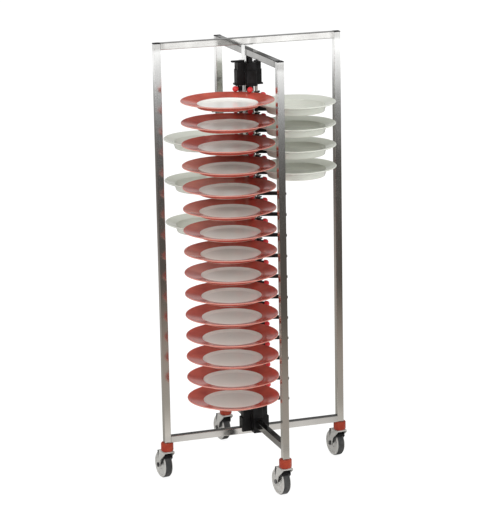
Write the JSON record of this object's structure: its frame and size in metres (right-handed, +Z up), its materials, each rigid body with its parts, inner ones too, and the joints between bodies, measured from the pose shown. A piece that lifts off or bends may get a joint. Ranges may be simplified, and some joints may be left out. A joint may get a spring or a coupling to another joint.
{
  "type": "plate dispenser cart",
  "caption": "Mobile plate rack: crossed square-tube frame on swivel casters, with clip arms round a central column that hold each plate level by its inner edge.",
  "frame": {"origin": "middle of the footprint, on the floor", "axes": "+Z up, -Y the front of the picture's front post, X along the taller top rail"},
  "size_m": [0.7342, 0.7884, 1.623],
  "materials": {
    "stainless_tube": "brushed stainless steel",
    "black_plastic": "moulded, satin",
    "red_rubber": "smooth moulded",
    "orange_red_plastic": "moulded, satin",
    "grey_fork_plastic": "light grey, satin",
    "grey_wheel_plastic": "light grey, moulded",
    "grey_tyre": "dark grey, non-marking",
    "dark_steel": "dark plated steel",
    "red_rimmed_china": "salmon-red glazed rim round a white middle",
    "white_china": "white glaze"
  },
  "bodies": {
    "rack": {"base_hub": "black_plastic", "base_rail_end": "stainless_tube", "base_rail_side": "stainless_tube", "carriers_back": "black_plastic", "carriers_front": "black_plastic", "carriers_left": "black_plastic", "carriers_right": "black_plastic", "caster_collars": "orange_red_plastic", "centre_column": "stainless_tube", "end_posts": "stainless_tube", "post_caps": "black_plastic", "rim_buttons": "red_rubber", "rod_shoes": "black_plastic", "side_posts": "stainless_tube", "support_rods": "stainless_tube", "top_clamp": "black_plastic", "top_rail_end": "stainless_tube", "top_rail_side": "stainless_tube"},
    "swivel_left": {"caster_fork_left": "grey_fork_plastic", "caster_guard_left": "black_plastic", "caster_axle_left": "dark_steel"},
    "roller_left": {"caster_wheel_left": "grey_wheel_plastic", "caster_tyre_left": "grey_tyre"},
    "swivel_right": {"caster_fork_right": "grey_fork_plastic", "caster_guard_right": "black_plastic", "caster_axle_right": "dark_steel"},
    "roller_right": {"caster_wheel_right": "grey_wheel_plastic", "caster_tyre_right": "grey_tyre"},
    "swivel_front": {"caster_fork_front": "grey_fork_plastic", "caster_guard_front": "black_plastic", "caster_axle_front": "dark_steel"},
    "roller_front": {"caster_wheel_front": "grey_wheel_plastic", "caster_tyre_front": "grey_tyre"},
    "swivel_back": {"caster_fork_back": "grey_fork_plastic", "caster_guard_back": "black_plastic", "caster_axle_back": "dark_steel"},
    "roller_back": {"caster_wheel_back": "grey_wheel_plastic", "caster_tyre_back": "grey_tyre"},
    "plate_red_01": {"plate_red_01": "red_rimmed_china"},
    "plate_red_02": {"plate_red_02": "red_rimmed_china"},
    "plate_red_03": {"plate_red_03": "red_rimmed_china"},
    "plate_red_04": {"plate_red_04": "red_rimmed_china"},
    "plate_red_05": {"plate_red_05": "red_rimmed_china"},
    "plate_red_06": {"plate_red_06": "red_rimmed_china"},
    "plate_red_07": {"plate_red_07": "red_rimmed_china"},
    "plate_red_08": {"plate_red_08": "red_rimmed_china"},
    "plate_red_09": {"plate_red_09": "red_rimmed_china"},
    "plate_red_10": {"plate_red_10": "red_rimmed_china"},
    "plate_red_11": {"plate_red_11": "red_rimmed_china"},
    "plate_red_12": {"plate_red_12": "red_rimmed_china"},
    "plate_red_13": {"plate_red_13": "red_rimmed_china"},
    "plate_red_14": {"plate_red_14": "red_rimmed_china"},
    "plate_red_15": {"plate_red_15": "red_rimmed_china"},
    "plate_white_left_3": {"plate_white_left_3": "white_china"},
    "plate_white_left_5": {"plate_white_left_5": "white_china"},
    "plate_white_left_7": {"plate_white_left_7": "white_china"},
    "plate_white_right_1": {"plate_white_right_1": "white_china"},
    "plate_white_right_2": {"plate_white_right_2": "white_china"},
    "plate_white_right_3": {"plate_white_right_3": "white_china"},
    "plate_white_right_4": {"plate_white_right_4": "white_china"}
  },
  "joints": [
    {"name": "swivel_left_turn", "type": "hinge", "parent": "rack", "child": "swivel_left", "pos_m": [-0.3366, -0.0313, 0.115], "axis": [0, 0, 1], "continuous": true},
    {"name": "roller_left_spin", "type": "hinge", "parent": "swivel_left", "child": "roller_left", "pos_m": [-0.34117, 0.0034, 0.05], "axis": [0.9914, 0.1305, 0], "continuous": true},
    {"name": "swivel_right_turn", "type": "hinge", "parent": "rack", "child": "swivel_right", "pos_m": [0.3434, -0.0313, 0.115], "axis": [0, 0, 1], "continuous": true},
    {"name": "roller_right_spin", "type": "hinge", "parent": "swivel_right", "child": "roller_right", "pos_m": [0.33883, 0.0034, 0.05], "axis": [0.9914, 0.1305, 0], "continuous": true},
    {"name": "swivel_front_turn", "type": "hinge", "parent": "rack", "child": "swivel_front", "pos_m": [0.0034, -0.3713, 0.115], "axis": [0, 0, 1], "continuous": true},
    {"name": "roller_front_spin", "type": "hinge", "parent": "swivel_front", "child": "roller_front", "pos_m": [-0.00117, -0.3366, 0.05], "axis": [0.9914, 0.1305, 0], "continuous": true},
    {"name": "swivel_back_turn", "type": "hinge", "parent": "rack", "child": "swivel_back", "pos_m": [0.0034, 0.3087, 0.115], "axis": [0, 0, 1], "continuous": true},
    {"name": "roller_back_spin", "type": "hinge", "parent": "swivel_back", "child": "roller_back", "pos_m": [-0.00117, 0.3434, 0.05], "axis": [0.9914, 0.1305, 0], "continuous": true},
    {"name": "plate_red_01_slide", "type": "slide", "parent": "rack", "child": "plate_red_01", "axis": [-0.7071, -0.7071, 0], "range_m": [0, 0.25]},
    {"name": "plate_red_02_slide", "type": "slide", "parent": "rack", "child": "plate_red_02", "axis": [-0.7071, -0.7071, 0], "range_m": [0, 0.25]},
    {"name": "plate_red_03_slide", "type": "slide", "parent": "rack", "child": "plate_red_03", "axis": [-0.7071, -0.7071, 0], "range_m": [0, 0.25]},
    {"name": "plate_red_04_slide", "type": "slide", "parent": "rack", "child": "plate_red_04", "axis": [-0.7071, -0.7071, 0], "range_m": [0, 0.25]},
    {"name": "plate_red_05_slide", "type": "slide", "parent": "rack", "child": "plate_red_05", "axis": [-0.7071, -0.7071, 0], "range_m": [0, 0.25]},
    {"name": "plate_red_06_slide", "type": "slide", "parent": "rack", "child": "plate_red_06", "axis": [-0.7071, -0.7071, 0], "range_m": [0, 0.25]},
    {"name": "plate_red_07_slide", "type": "slide", "parent": "rack", "child": "plate_red_07", "axis": [-0.7071, -0.7071, 0], "range_m": [0, 0.25]},
    {"name": "plate_red_08_slide", "type": "slide", "parent": "rack", "child": "plate_red_08", "axis": [-0.7071, -0.7071, 0], "range_m": [0, 0.25]},
    {"name": "plate_red_09_slide", "type": "slide", "parent": "rack", "child": "plate_red_09", "axis": [-0.7071, -0.7071, 0], "range_m": [0, 0.25]},
    {"name": "plate_red_10_slide", "type": "slide", "parent": "rack", "child": "plate_red_10", "axis": [-0.7071, -0.7071, 0], "range_m": [0, 0.25]},
    {"name": "plate_red_11_slide", "type": "slide", "parent": "rack", "child": "plate_red_11", "axis": [-0.7071, -0.7071, 0], "range_m": [0, 0.25]},
    {"name": "plate_red_12_slide", "type": "slide", "parent": "rack", "child": "plate_red_12", "axis": [-0.7071, -0.7071, 0], "range_m": [0, 0.25]},
    {"name": "plate_red_13_slide", "type": "slide", "parent": "rack", "child": "plate_red_13", "axis": [-0.7071, -0.7071, 0], "range_m": [0, 0.25]},
    {"name": "plate_red_14_slide", "type": "slide", "parent": "rack", "child": "plate_red_14", "axis": [-0.7071, -0.7071, 0], "range_m": [0, 0.25]},
    {"name": "plate_red_15_slide", "type": "slide", "parent": "rack", "child": "plate_red_15", "axis": [-0.7071, -0.7071, 0], "range_m": [0, 0.25]},
    {"name": "plate_white_left_3_slide", "type": "slide", "parent": "rack", "child": "plate_white_left_3", "axis": [-0.7071, 0.7071, 0], "range_m": [0, 0.25]},
    {"name": "plate_white_left_5_slide", "type": "slide", "parent": "rack", "child": "plate_white_left_5", "axis": [-0.7071, 0.7071, 0], "range_m": [0, 0.25]},
    {"name": "plate_white_left_7_slide", "type": "slide", "parent": "rack", "child": "plate_white_left_7", "axis": [-0.7071, 0.7071, 0], "range_m": [0, 0.25]},
    {"name": "plate_white_right_1_slide", "type": "slide", "parent": "rack", "child": "plate_white_right_1", "axis": [0.7071, -0.7071, 0], "range_m": [0, 0.25]},
    {"name": "plate_white_right_2_slide", "type": "slide", "parent": "rack", "child": "plate_white_right_2", "axis": [0.7071, -0.7071, 0], "range_m": [0, 0.25]},
    {"name": "plate_white_right_3_slide", "type": "slide", "parent": "rack", "child": "plate_white_right_3", "axis": [0.7071, -0.7071, 0], "range_m": [0, 0.25]},
    {"name": "plate_white_right_4_slide", "type": "slide", "parent": "rack", "child": "plate_white_right_4", "axis": [0.7071, -0.7071, 0], "range_m": [0, 0.25]}
  ]
}
